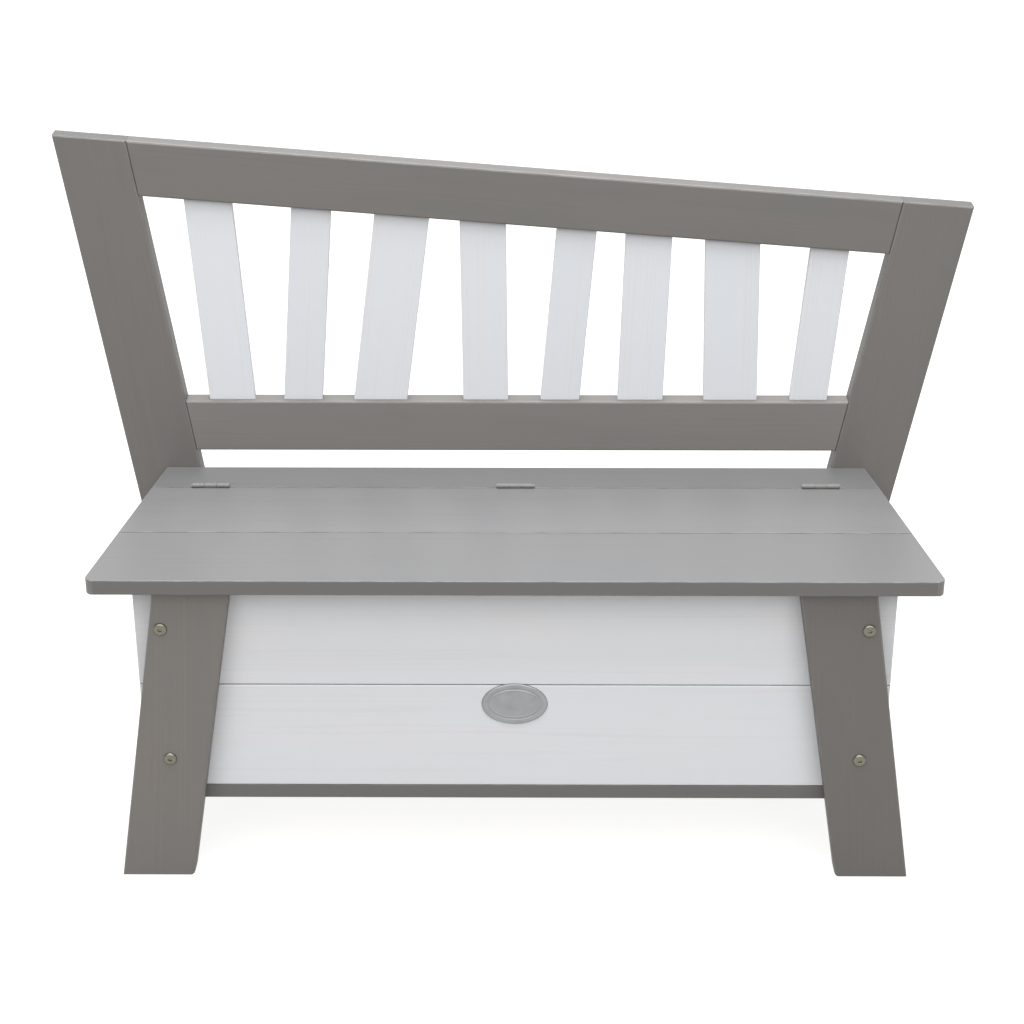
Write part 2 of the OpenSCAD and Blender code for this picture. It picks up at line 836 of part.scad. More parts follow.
module ledge_screws() {
    color(zinc) {
        strip_screw_places()
            screw(strip_screw_l, screw_r);
        ledge_screw_places()
            screw(ledge_screw_l, screw_r);
    }
}

module rail_dowels() {
    color(pine)
        for (side = [left, right]) {
            dowel_places(side, rail_mid_low, rail_slope)
                dowel(0);
            dowel_places(side, lower_rail_low, 0)
                dowel(0);
        }
}

// The badge's oval, drawn in from its rim by a margin
module badge_oval(inset) {
    scale([1, (badge_h - 2 * inset) / (badge_w - 2 * inset)])
        circle(badge_w / 2 - inset, $fn = 72);
}

module badge_pins(grow) {
    for (side = [left, right])
        translate([side * badge_w / 4, wall_y - over, badge_z])
            rotate([-90, 0, 0])
                cylinder(r = small_screw_r + grow, h = badge_pin_l + over + grow);
}

module badge() {
    color(zinc) {
        translate([0, wall_y, badge_z])
            rotate([90, 0, 0])
                difference() {
                    linear_extrude(badge_t)
                        badge_oval(0);
                    translate([0, 0, badge_t - badge_field_d])
                        linear_extrude(badge_field_d + over)
                            badge_oval(badge_rim);
                }
        badge_pins(0);
    }
}

front_leg(left);  // front_leg_left
front_leg(right);  // front_leg_right
rear_post(left);  // rear_post_left
rear_post(right);  // rear_post_right
rail(rail_mid_low, rail_slope);  // top_rail
rail(lower_rail_low, 0);  // lower_rail
slat(0);  // slat_1
slat(1);  // slat_2
slat(2);  // slat_3
slat(3);  // slat_4
slat(4);  // slat_5
slat(5);  // slat_6
slat(6);  // slat_7
slat(7);  // slat_8
wall_plank(wall_y, seam_z + plank_gap, true);  // front_upper_plank
wall_plank(wall_y, box_low, false);  // front_lower_plank
wall_plank(back_y, seam_z + plank_gap, true);  // rear_upper_plank
wall_plank(back_y, box_low, false);  // rear_lower_plank
side_plank(left, seam_z + plank_gap, true);  // left_upper_plank
side_plank(left, box_low, false);  // left_lower_plank
side_plank(right, seam_z + plank_gap, true);  // right_upper_plank
side_plank(right, box_low, false);  // right_lower_plank
bottom_plank(0);  // bottom_front_plank
bottom_plank(1);  // bottom_rear_plank
corner_batten(left, true);  // corner_batten_front_left
corner_batten(right, true);  // corner_batten_front_right
corner_batten(left, false);  // corner_batten_rear_left
corner_batten(right, false);  // corner_batten_rear_right
strip_ledge();
seat_rear_strip();
lid_front_plank();
lid_rear_plank();
lid_batten(-lid_batten_x);  // lid_batten_left
lid_batten(0);  // lid_batten_middle
lid_batten(lid_batten_x);  // lid_batten_right
hinge_leaves(false);  // hinge_leaves_fixed
hinge_leaves(true);  // hinge_leaves_lid
hinge_pins();
hinge_screws(false);  // hinge_screws_fixed
hinge_screws(true);  // hinge_screws_lid
lid_batten_screws();
bolts(leg_y);  // leg_bolts
bolts(back_y + post_t);  // post_bolts
threaded_inserts();
panel_screws();
batten_screws();
bottom_screws();
ledge_screws();
rail_dowels();
badge();
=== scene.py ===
# %% [markdown]
# # A toy storage bench
# The bench is made of painted pine boards. Its seat is the lid of a box, and its
# back is crooked on purpose, with slats that lean each in its own way.
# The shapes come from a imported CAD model, which is loaded as a fixed frame. This
# lesson adds what the CAD leaves out: paint, grain, metal, fine fasteners and light.

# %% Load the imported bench
import json
import math

import bmesh
import bpy
from mathutils import Matrix, Vector


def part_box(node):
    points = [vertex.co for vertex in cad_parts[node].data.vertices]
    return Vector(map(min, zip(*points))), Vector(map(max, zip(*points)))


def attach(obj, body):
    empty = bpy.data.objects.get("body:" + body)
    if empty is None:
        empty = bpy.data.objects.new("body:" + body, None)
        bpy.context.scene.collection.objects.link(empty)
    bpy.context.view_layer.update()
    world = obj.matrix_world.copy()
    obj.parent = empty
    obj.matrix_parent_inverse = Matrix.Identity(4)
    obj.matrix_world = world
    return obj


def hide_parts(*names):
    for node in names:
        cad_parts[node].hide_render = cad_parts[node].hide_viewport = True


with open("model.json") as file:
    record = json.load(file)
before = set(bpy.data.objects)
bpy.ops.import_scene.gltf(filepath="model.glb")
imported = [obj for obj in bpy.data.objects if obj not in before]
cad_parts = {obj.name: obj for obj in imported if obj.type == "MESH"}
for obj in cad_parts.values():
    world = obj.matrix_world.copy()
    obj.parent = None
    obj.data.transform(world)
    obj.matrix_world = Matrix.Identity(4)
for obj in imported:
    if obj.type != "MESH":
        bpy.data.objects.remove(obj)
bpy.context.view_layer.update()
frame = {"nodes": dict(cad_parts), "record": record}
nodes = frame["nodes"]
record = frame["record"]
slot_of = {part["node"]: part["material_slot"] for part in record["subparts"]}
body_of = {name: body for body, members in record["behaviour"]["bodies"].items()
           for name in members}

# %% [markdown]
# ## Colours and nodes
# Paint makers and photo editors give colours as sRGB hex values, but Blender's
# shaders work on linear light. One function turns the first into the second.
# Materials are trees of nodes, so a second function adds one node with its
# settings and its links: it saves the same three lines again and again. The
# third one starts a material.

# %% Helpers for colours, nodes and materials
MM = 0.001


def linear(hex_colour):
    """Linear red, green, blue and alpha of an sRGB hex colour."""
    values = [int(hex_colour[i:i + 2], 16) / 255 for i in (1, 3, 5)]
    return [v / 12.92 if v <= 0.04045 else ((v + 0.055) / 1.055) ** 2.4 for v in values] + [1]


def add(tree, kind, settings):
    """Adds a shader node. A setting is a socket's value, another node's output, or an option."""
    node = tree.nodes.new("ShaderNode" + kind)
    for name, value in settings.items():
        if isinstance(name, str) and hasattr(node, name):
            setattr(node, name, value)
        elif isinstance(value, bpy.types.NodeSocket):
            tree.links.new(value, node.inputs[name])
        else:
            node.inputs[name].default_value = value
    return node


def new_material(name):
    """An empty material, with its tree and its output node."""
    material = bpy.data.materials.new(name)
    material.use_nodes = True
    material.node_tree.nodes.clear()
    return material, material.node_tree, add(material.node_tree, "OutputMaterial", {})


print("mid grey in linear light:", [round(v, 3) for v in linear("#808080")[:3]])

# %% [markdown]
# ## The camera
# The photograph looks down at the bench by about 25 degrees, from a good two metres
# away, and almost from the middle. A long lens keeps the boards from spreading.
# The numbers were fitted to the bench's edges in the photograph.

# %% Camera
CAMERA_AT = (0.0102, -2.0555, 1.3221)
LOOK_DOWN = 24.968
TURN_LEFT = 0.378
TILT = -0.054
LENS = 75.086
SENSOR = 36
SEAT_HEIGHT = 0.36

camera = bpy.data.objects.new("camera", bpy.data.cameras.new("camera"))
camera.data.lens = LENS
camera.data.sensor_width = SENSOR
camera.matrix_world = (
    Matrix.Translation(CAMERA_AT)
    @ Matrix.Rotation(math.radians(TURN_LEFT), 4, "Z")
    @ Matrix.Rotation(math.radians(90 - LOOK_DOWN), 4, "X")
    @ Matrix.Rotation(math.radians(TILT), 4, "Z"))
bpy.context.scene.collection.objects.link(camera)
bpy.context.scene.camera = camera
to_seat = Vector(CAMERA_AT) - Vector((0, 0, SEAT_HEIGHT))
print("camera", round(to_seat.length, 2), "m from the seat")

# %% [markdown]
# ## Floor
# The bench stands on a white studio floor. A real white floor is never quite white
# in a picture, so this one adds a little light of its own, but only for rays that
# come straight from the camera or off a shiny surface. The bench isn't lit by it,
# and it still takes the bench's shadow. Further out, where no shadow falls, the glow
# rises until the floor melts into the white wall.

# %% Floor
FLOOR_HALF = 12.0
FLOOR_GLOW = 0.88      # at the bench
FADE_START = 0.6       # metres from the bench's middle, where the glow begins to rise
FADE_END = 2.2         # where it has reached 1
FLOOR_PAINT = "#9c9993"
WHITE = "#ffffff"

floor_mesh = bpy.data.meshes.new("studio_floor")
corners = [(x * FLOOR_HALF, y * FLOOR_HALF, 0) for x, y in ((-1, -1), (1, -1), (1, 1), (-1, 1))]
floor_mesh.from_pydata(corners, [], [(0, 1, 2, 3)])
floor = bpy.data.objects.new("studio_floor", floor_mesh)
bpy.context.scene.collection.objects.link(floor)

floor_paint, tree, output = new_material("white studio floor paint")
path = add(tree, "LightPath", {})
seen = add(tree, "Math", {
    "operation": "MAXIMUM", 0: path.outputs["Is Camera Ray"], 1: path.outputs["Is Glossy Ray"]})
coordinates = add(tree, "TexCoord", {})
away = add(tree, "VectorMath", {"operation": "LENGTH", 0: coordinates.outputs["Object"]})
rise = add(tree, "MapRange", {
    "interpolation_type": "SMOOTHSTEP", "Value": away.outputs["Value"], "From Min": FADE_START,
    "From Max": FADE_END, "To Min": FLOOR_GLOW, "To Max": 1.0})
glow = add(tree, "Math", {"operation": "MULTIPLY", 0: seen.outputs[0], 1: rise.outputs[0]})
surface = add(tree, "BsdfDiffuse", {"Color": linear(FLOOR_PAINT)})
light = add(tree, "Emission", {"Color": linear(WHITE), "Strength": glow.outputs[0]})
both = add(tree, "AddShader", {0: surface.outputs[0], 1: light.outputs[0]})
tree.links.new(both.outputs[0], output.inputs["Surface"])
floor_mesh.materials.append(floor_paint)
print("floor", 2 * FLOOR_HALF, "m wide")

# %% [markdown]
# ## Lights
# A photographer lights furniture with one big softbox overhead and a very wide lamp high
# in front. The softbox makes the seat brighter than the upright boards and leaves the
# soft shadow under the lid. The lamp in front keeps the box's wall white, and because it
# is so wide, the legs shade the wall softly on both of their sides. A weak third lamp,
# high behind, is there for pictures of the back. The white walls that show in the
# picture and in the metal are the world's own light.

# %% Lights
ROOM_LIGHT = 0.06      # what the white walls give to the bench
AIM = (0, 0, 0.3)
LAMPS = {
    "softbox": {"place": (-0.1, 0.0, 3.2), "size": (2.6, 2.6), "watts": 138, "tint": "#f8fcff"},
    "front lamp": {"place": (0.0, -4.2, 4.0), "size": (9.0, 4.4), "watts": 290, "tint": WHITE},
    "back lamp": {"place": (0.4, 3.2, 4.4), "size": (2.4, 2.4), "watts": 55, "tint": WHITE}}

world = bpy.data.worlds.new("pale studio")
bpy.context.scene.world = world
world.use_nodes = True
world.node_tree.nodes.clear()
path = add(world.node_tree, "LightPath", {})
seen = add(world.node_tree, "Math", {
    "operation": "MAXIMUM", 0: path.outputs["Is Camera Ray"], 1: path.outputs["Is Glossy Ray"]})
strength = add(world.node_tree, "MapRange", {
    "Value": seen.outputs[0], "To Min": ROOM_LIGHT, "To Max": 1.0})
room = add(world.node_tree, "Background", {
    "Color": linear(WHITE), "Strength": strength.outputs[0]})
room_output = add(world.node_tree, "OutputWorld", {})
world.node_tree.links.new(room.outputs[0], room_output.inputs["Surface"])

for name, lamp in LAMPS.items():
    light = bpy.data.objects.new(name, bpy.data.lights.new(name, "AREA"))
    light.data.shape = "RECTANGLE"
    light.data.size, light.data.size_y = lamp["size"]
    light.data.energy = lamp["watts"]
    light.data.color = linear(lamp["tint"])[:3]
    light.location = lamp["place"]
    towards = Vector(AIM) - Vector(lamp["place"])
    light.rotation_euler = towards.to_track_quat("-Z", "Y").to_euler()
    bpy.context.scene.collection.objects.link(light)
    print(name, lamp["size"], "m at", lamp["watts"], "W")
bpy.context.scene.view_settings.view_transform = "Standard"

# %% [markdown]
# ## Pine
# The boards are planed pine. A board shows the tree's yearly rings as long streaks,
# about 5 mm apart, and fine fibres between them. The rings are circles round the
# tree's heart, which lies outside the board, so a ring pattern whose middle is some
# 60 mm behind the face gives streaks that spread and close up as real ones do.
# Here and there a branch crosses the board and leaves a knot. Each board has its own
# place in the tree and its grain lengthwise.

# %% The grain of one board
RING_MM = 5.5          # from one yearly ring to the next
HEART_MM = 60          # from the board's face to the tree's heart
FIBRE_MM = 1.6         # real fibres are finer, and would not show in the picture
FIGURE_MM = 14         # broad streaks of darker and lighter wood
BLOTCH_MM = 70         # patches where the wood takes more or less paint
KNOT_CELL_MM = 210     # a knot lies in some of the squares of this size
KNOT_MM = 8            # from a knot's middle to its edge
STRETCH = 28           # how much longer than wide the wood's figures are
WAVE_TURN = 20         # Blender's rings turn 20 radians for each unit of distance
RING_WOBBLE = 11.0     # how far the rings stray from true circles
LATE_WOOD = (0.45, 1.0)        # how a ring turns from pale early wood to dark late wood
CLEAR_RINGS = (0.42, 0.68)     # where in the figures the rings show
BLOTCH_STRETCH = 0.35          # blotches are about three times longer than wide
TONE_RANGE = (0.75, 1.25)
KNOT_CORE = 0.3                # the share of a knot that is fully dark
KNOTTY = 0.5                   # the share of the squares without a knot
PLACE_STEP = (0.731, 0.137)    # metres by which each board's grain is moved on
PLACE_SPAN = (1, 0.05)         # and the room for these moves


def board_vector(tree, axis, face, number):
    """Millimetres on one board: X along its grain, Z through its face, moved to its own place."""
    along = Vector(axis).normalized()
    through = Vector(face).normalized()
    turn = Matrix((along, through.cross(along), through)).transposed().to_euler()
    moved = [step * number % span for step, span in zip(PLACE_STEP, PLACE_SPAN)]
    place = Vector((*moved, 0)) + through * (HEART_MM * MM)
    coordinates = add(tree, "TexCoord", {})
    return coordinates, add(tree, "Mapping", {
        "vector_type": "TEXTURE", "Vector": coordinates.outputs["Object"],
        "Location": place, "Rotation": turn, "Scale": (MM, MM, MM)})


def grain(tree, board):
    """Rings, fibres, broad tones and knots of a board, each from 0 to 1."""
    long = add(tree, "Mapping", {"Vector": board.outputs[0], "Scale": (1 / STRETCH, 1, 1)})
    waves = add(tree, "TexWave", {
        "wave_type": "RINGS", "rings_direction": "X", "wave_profile": "SIN",
        "Vector": long.outputs[0], "Scale": 2 * math.pi / WAVE_TURN / RING_MM,
        "Distortion": RING_WOBBLE, "Detail": 3.0, "Detail Scale": 0.9})
    late_wood = add(tree, "MapRange", {
        "interpolation_type": "SMOOTHSTEP", "Value": waves.outputs["Fac"],
        "From Min": LATE_WOOD[0], "From Max": LATE_WOOD[1]})
    figures = add(tree, "TexNoise", {
        "Vector": long.outputs[0], "Scale": 1 / FIGURE_MM, "Detail": 2.0, "Roughness": 0.5})
    shown = add(tree, "MapRange", {
        "interpolation_type": "SMOOTHSTEP", "Value": figures.outputs["Fac"],
        "From Min": CLEAR_RINGS[0], "From Max": CLEAR_RINGS[1]})
    rings = add(tree, "Math", {
        "operation": "MULTIPLY", 0: late_wood.outputs[0], 1: shown.outputs[0]})
    fibres = add(tree, "TexNoise", {
        "Vector": long.outputs[0], "Scale": 1 / FIBRE_MM, "Detail": 3.0, "Roughness": 0.65})
    soft = add(tree, "Mapping", {"Vector": board.outputs[0], "Scale": (BLOTCH_STRETCH, 1, 1)})
    blotches = add(tree, "TexNoise", {
        "Vector": soft.outputs[0], "Scale": 1 / BLOTCH_MM, "Detail": 2.0, "Roughness": 0.5})
    both = add(tree, "Math", {
        "operation": "ADD", 0: blotches.outputs["Fac"], 1: figures.outputs["Fac"]})
    tones = add(tree, "MapRange", {
        "Value": both.outputs[0], "From Min": TONE_RANGE[0], "From Max": TONE_RANGE[1]})
    cells = add(tree, "TexVoronoi", {
        "voronoi_dimensions": "2D", "Vector": soft.outputs[0], "Scale": 1 / KNOT_CELL_MM})
    near = add(tree, "MapRange", {
        "interpolation_type": "SMOOTHSTEP", "Value": cells.outputs["Distance"],
        "From Min": KNOT_CORE * KNOT_MM / KNOT_CELL_MM, "From Max": KNOT_MM / KNOT_CELL_MM,
        "To Min": 1.0, "To Max": 0.0})
    chosen = add(tree, "Math", {"operation": "GREATER_THAN", 0: cells.outputs["Color"], 1: KNOTTY})
    knots = add(tree, "Math", {"operation": "MULTIPLY", 0: near.outputs[0], 1: chosen.outputs[0]})
    return rings.outputs[0], fibres.outputs["Fac"], tones.outputs[0], knots.outputs[0]


print("rings every", RING_MM, "mm, figures", STRETCH, "times longer than wide")

# %% [markdown]
# ## Paint
# The grey is a thin water-based furniture paint, wiped on: it half shows the grain,
# takes darker on end grain, where the fibres drink it, and rubs pale along the sanded
# edges. On the seat's boards the eased edges are painted dark instead, as painted shade
# along the seams. On every board the long side faces are painted darker than the face:
# painted shade for sides that get less light. The white is the same kind of paint, put
# on thicker, and the long edges of the box's planks, whose tops face the softbox, are
# painted grey: painted shade that keeps them from burning out to white. Both dry to a
# soft sheen, with an IOR near 1.5 and a roughness near one half. The hidden battens are
# bare, planed pine.

# %% A painted board
RUB_OR_SHADE_MM = 25            # length of the rubbed or painted-shade places along an edge
RELIEF_MM = 0.2        # height of the raised grain
RING_RELIEF = 0.5      # the rings' height as a share of the fibres'
PAINT_IOR = 1.5
STREAKS = (0.3, 0.7)           # fibre values from the darkest to the lightest streak
PORES = (0.69, 0.76)           # fibre values that are pores
ON_END = (0.8, 0.95)           # how square to the grain a surface is on the end of a board
ON_SIDE = (0.1, 0.3)           # and how square to the face on a long edge
RUB_OR_SHADE_RANGE = (0.35, 0.65)
ARRIS = 0.05                   # slant from which a surface counts as an eased edge
ROUGH_SPREAD = 0.08


def painted_pine(name, axis, face, number, paint, tone_and_painted_light):
    """Paint on a pine board. paint holds the colours and how much of the wood shows."""
    material, tree, output = new_material(name)
    coordinates, board = board_vector(tree, axis, face, number)
    rings, fibres, tones, knots = grain(tree, board)
    tone = add(tree, "Mix", {
        "data_type": "RGBA", "Factor": tones, 6: linear(paint["cool"]), 7: linear(paint["warm"])})
    ringed = add(tree, "Mix", {
        "data_type": "RGBA", "blend_type": "MULTIPLY", 6: tone.outputs[2],
        7: linear(paint["ring"]), "Factor": rings})
    knot = add(tree, "Math", {"operation": "MULTIPLY", 0: knots, 1: paint["knot_shows"]})
    knotted = add(tree, "Mix", {
        "data_type": "RGBA", "Factor": knot.outputs[0], 6: ringed.outputs[2],
        7: linear(paint["knot"])})
    streak = add(tree, "MapRange", {
        "Value": fibres, "From Min": STREAKS[0], "From Max": STREAKS[1],
        "To Min": 1 - paint["streak"], "To Max": 1 + paint["streak"]})
    pores = add(tree, "MapRange", {
        "Value": fibres, "From Min": PORES[0], "From Max": PORES[1],
        "To Min": 1.0, "To Max": paint["pore"]})
    wood = add(tree, "Math", {"operation": "MULTIPLY", 0: streak.outputs[0], 1: pores.outputs[0]})
    end = add(tree, "VectorMath", {
        "operation": "DOT_PRODUCT", 0: coordinates.outputs["Normal"],
        1: Vector(axis).normalized()})
    across = add(tree, "Math", {"operation": "ABSOLUTE", 0: end.outputs["Value"]})
    thirsty = add(tree, "MapRange", {
        "Value": across.outputs[0], "From Min": ON_END[0], "From Max": ON_END[1],
        "To Min": 1.0, "To Max": paint["end"]})
    out = add(tree, "VectorMath", {
        "operation": "DOT_PRODUCT", 0: coordinates.outputs["Normal"],
        1: Vector(face).normalized()})
    facing = add(tree, "Math", {"operation": "ABSOLUTE", 0: out.outputs["Value"]})
    either = add(tree, "Math", {"operation": "ADD", 0: facing.outputs[0], 1: across.outputs[0]})
    # Long side faces darken by the paint's side value: painted shade for faces that get less light.
    painted_side_shade = add(tree, "MapRange", {
        "Value": either.outputs[0], "From Min": ON_SIDE[0], "From Max": ON_SIDE[1],
        "To Min": paint["side"], "To Max": 1.0})
    light = add(tree, "Math", {"operation": "MULTIPLY", 0: wood.outputs[0], 1: thirsty.outputs[0]})
    shade = add(tree, "Math", {"operation": "MULTIPLY", 0: light.outputs[0], 1: painted_side_shade.outputs[0]})
    # The last factor is the board's tone, for many boards painted light and shade.
    lit = add(tree, "Math", {"operation": "MULTIPLY", 0: shade.outputs[0], 1: tone_and_painted_light})
    colour = add(tree, "VectorMath", {
        "operation": "SCALE", 0: knotted.outputs[2], "Scale": lit.outputs[0]})
    # Eased edges take the rub colour in patches: pale wear on most paints, but dark on the seat, as
    # painted shade along its seams.
    slant = add(tree, "Math", {"operation": "PINGPONG", 0: facing.outputs[0], 1: 0.5})
    arris = add(tree, "Math", {"operation": "GREATER_THAN", 0: slant.outputs[0], 1: ARRIS})
    rub_or_shade_patches = add(tree, "TexNoise", {"Vector": board.outputs[0], "Scale": 1 / RUB_OR_SHADE_MM, "Detail": 3.0})
    rubbed_or_shaded = add(tree, "MapRange", {
        "Value": rub_or_shade_patches.outputs["Fac"], "From Min": RUB_OR_SHADE_RANGE[0], "From Max": RUB_OR_SHADE_RANGE[1],
        "To Min": 0.0, "To Max": paint["edge_rub_or_shade_shows"]})
    worn_or_shaded_edge = add(tree, "Math", {"operation": "MULTIPLY", 0: arris.outputs[0], 1: rubbed_or_shaded.outputs[0]})
    finish = add(tree, "Mix", {
        "data_type": "RGBA", "Factor": worn_or_shaded_edge.outputs[0], 6: colour.outputs[0],
        7: linear(paint["edge_rub_or_shade"])})
    rough = add(tree, "MapRange", {
        "Value": fibres, "To Min": paint["rough"] - ROUGH_SPREAD,
        "To Max": paint["rough"] + ROUGH_SPREAD})
    relief = add(tree, "Math", {"operation": "MULTIPLY_ADD", 0: rings, 1: RING_RELIEF, 2: fibres})
    bump = add(tree, "Bump", {
        "Height": relief.outputs[0], "Strength": paint["relief"], "Distance": RELIEF_MM * MM})
    shader = add(tree, "BsdfPrincipled", {
        "Base Color": finish.outputs[2], "Roughness": rough.outputs[0], "Normal": bump.outputs[0],
        "IOR": PAINT_IOR})
    tree.links.new(shader.outputs[0], output.inputs["Surface"])
    return material


# side in each paint is painted shade on a board's long edges.
GREY_WASH = {"cool": "#706e6b", "warm": "#75706d", "ring": "#fafaf9", "streak": 0.006,
             "pore": 0.94, "end": 0.7, "side": 0.85, "edge_rub_or_shade": "#8b8a87", "edge_rub_or_shade_shows": 0.35,
             "knot": "#705f5b", "knot_shows": 0.3, "rough": 0.5, "relief": 0.03}
# The seat's dark edge colour is painted shade along its boards' seams and edges, not wear.
SEAT_WASH = {**GREY_WASH, "cool": "#797878", "warm": "#7b7978", "ring": "#fbfbfb", "streak": 0.004,
             "pore": 0.97, "end": 0.67, "side": 0.76, "edge_rub_or_shade": "#4c4c4e", "edge_rub_or_shade_shows": 0.6,
             "knot_shows": 0.1, "rough": 0.38}
WHITE_PAINT = {"cool": "#e8ebf0", "warm": "#ebebef", "ring": "#fcfcfc", "streak": 0.005,
               "pore": 0.97, "end": 0.92, "side": 0.97, "edge_rub_or_shade": "#eceff3", "edge_rub_or_shade_shows": 0.3,
               "knot": "#d9d3c8", "knot_shows": 0.25, "rough": 0.45, "relief": 0.04}
# The wall planks' long edges are painted grey: painted shade, so that their tops under the softbox
# don't burn out.
WALL_PAINT = {**WHITE_PAINT, "side": 0.46}
BARE_PINE = {"cool": "#d8bc92", "warm": "#cfab7e", "ring": "#cfa77e", "streak": 0.06, "pore": 0.85,
             "end": 0.78, "side": 0.95, "edge_rub_or_shade": "#e0c79c", "edge_rub_or_shade_shows": 0.3, "knot": "#7c4f2c",
             "knot_shows": 0.85, "rough": 0.6, "relief": 0.5}
print("paints: two grey washes, two white paints and bare pine")

# %% [markdown]
# ## Which way each board runs
# Grain always runs along a board, and the slats, legs and posts lean. The lean comes
# from the mesh itself: the direction in which its points spread the most. No two
# boards drink the wash alike, so each has a tone of its own. Most listed tones are
# painted light, though: the lower rail, the lid's rear plank and the front wall's upper
# plank are painted lighter, and the rear posts, the slats, the seat's rear strip and the
# lid's front plank darker, as painted light and shade that the lamps don't give them.

# %% Dress the boards
SPREAD = 0.012         # how much any two boards differ in tone
TONE_TURN = 2.4        # radians from one board's tone to the next
AXES = (Vector((1, 0, 0)), Vector((0, 1, 0)), Vector((0, 0, 1)))
# Only the legs' and the bottom plank's tones are the boards' own; the other listed tones are
# painted light and painted shade.
TONES_AND_PAINTED_LIGHT = {"front_leg_right": 0.88, "front_leg_left": 1.14, "rear_post_left": 0.94,
         "rear_post_right": 0.96, "lower_rail": 1.24, "bottom_front_plank": 0.95,
         "seat_rear_strip": 0.92, "lid_rear_plank": 1.04, "lid_front_plank": 0.98,
         "front_upper_plank": 1.02, **{f"slat_{i}": 0.94 for i in range(1, 9)}}


def spread_axis(obj, flat):
    """The direction in which a board's points spread most, seen square to its face."""
    points = [v.co for v in obj.data.vertices]
    middle = sum(points, Vector()) / len(points)
    u, v = [axis for i, axis in enumerate(AXES) if i != flat]
    a = sum((p - middle).dot(u) ** 2 for p in points)
    b = sum((p - middle).dot(v) ** 2 for p in points)
    c = sum((p - middle).dot(u) * (p - middle).dot(v) for p in points)
    angle = 0.5 * math.atan2(2 * c, a - b)
    return u * math.cos(angle) + v * math.sin(angle)


def thin_side(name):
    """The index of the axis along which a node is thinnest."""
    low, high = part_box(name)
    size = high - low
    return min(range(3), key=lambda i: size[i])


def finish_of(name):
    """The words and the paint of a board, or None for metal."""
    if slot_of[name] == "grey_paint" and name.startswith(("lid_", "seat_", "bottom_")):
        return "grey washed seat pine", SEAT_WASH
    if slot_of[name] == "white_wash" and name.endswith("_plank"):
        return "white painted wall pine", WALL_PAINT
    return {"grey_paint": ("grey washed pine", GREY_WASH),
            "white_wash": ("white painted pine", WHITE_PAINT),
            "bare_pine": ("bare planed pine", BARE_PINE)}.get(slot_of[name])


boards = [name for name in sorted(nodes) if finish_of(name)]
for number, name in enumerate(boards, 1):
    words, paint = finish_of(name)
    flat = thin_side(name)
    # The listed tone, painted light for most listed boards, times a small tone of the board's own.
    tone = TONES_AND_PAINTED_LIGHT.get(name, 1.0) * (1 + SPREAD * math.sin(TONE_TURN * number))
    spread = spread_axis(nodes[name], flat)
    material = painted_pine(f"{words} - {name}", spread, AXES[flat], number, paint, tone)
    nodes[name].data.materials.clear()
    nodes[name].data.materials.append(material)
print(len(boards), "boards dressed")

# %% [markdown]
# ## Metal
# Bolts, screws and hinges are steel with a thin yellowish zinc plating: a metal with
# fine, even roughness. The hinges have a dull film of zinc oxide, which scatters light
# like chalk. The oval badge is plain cast zinc with a satin, slightly clouded face.

# %% Zinc and badge
SPECK_MM = 1.2         # the plating's crystals are finer, and would not show
CLOUD_MM = 9.0         # clouds in the casting's skin
SKIN_MM = 0.05         # height of the unevenness
SKIN_SHOWS = 0.2       # the share of it that is seen
DULL_SPREAD = 0.1      # how much the roughness varies


def plated_metal(name, light_hex, dark_hex, rough, speck_mm, bare):
    """A metal with clouds of a real size. bare is the share of it without a dull film."""
    material, tree, output = new_material(name)
    coordinates = add(tree, "TexCoord", {})
    clouds = add(tree, "TexNoise", {
        "Vector": coordinates.outputs["Object"], "Scale": 1 / (speck_mm * MM), "Detail": 3.0})
    colour = add(tree, "Mix", {
        "data_type": "RGBA", "Factor": clouds.outputs["Fac"],
        6: linear(light_hex), 7: linear(dark_hex)})
    roughness = add(tree, "MapRange", {
        "Value": clouds.outputs["Fac"], "To Min": rough - DULL_SPREAD,
        "To Max": rough + DULL_SPREAD})
    bump = add(tree, "Bump", {
        "Height": clouds.outputs["Fac"], "Strength": SKIN_SHOWS, "Distance": SKIN_MM * MM})
    shader = add(tree, "BsdfPrincipled", {
        "Base Color": colour.outputs[2], "Metallic": bare, "Roughness": roughness.outputs[0],
        "Normal": bump.outputs[0]})
    tree.links.new(shader.outputs[0], output.inputs["Surface"])
    return material


zinc = plated_metal("zinc plated steel", "#7d7b6f", "#67655b", 0.3, SPECK_MM, 1.0)
dull_zinc = plated_metal("dulled zinc plated steel", "#8a8a87", "#7f7f7c", 0.75, SPECK_MM, 0.2)
cast_zinc = plated_metal("satin cast zinc", "#959698", "#848588", 0.42, CLOUD_MM, 1.0)
METAL = {"badge": cast_zinc, "hinge_leaves_fixed": dull_zinc, "hinge_leaves_lid": dull_zinc,
         "hinge_pins": dull_zinc}
for name in sorted(set(nodes) - set(boards)):
    nodes[name].data.materials.clear()
    nodes[name].data.materials.append(METAL.get(name, zinc))
print("metals:", zinc.name + ",", dull_zinc.name, "and", cast_zinc.name)

# %% [markdown]
# ## Turned shapes
# A bolt, a screw and the badge can all be made as a stack of closed loops, one above
# the other, like the rings that a lathe leaves. When every loop has the same number
# of points, the skin between two of them is a band of clean quads, even where a
# round head passes into a six-sided socket or a cross.

# %% Loops and their skin
LOOP_POINTS = 48       # divides by the hexagon's six corners and the cross's eight
ARM_STEPS = 2          # points from the middle of a cross's arm to its corner
NOT_ZERO = 1e-9        # stands in for a sine of zero in a division


def polar(radius_at):
    """The points of a loop whose radius depends on the angle."""
    angles = [2 * math.pi * i / LOOP_POINTS for i in range(LOOP_POINTS)]
    return [(radius_at(a) * math.cos(a), radius_at(a) * math.sin(a)) for a in angles]


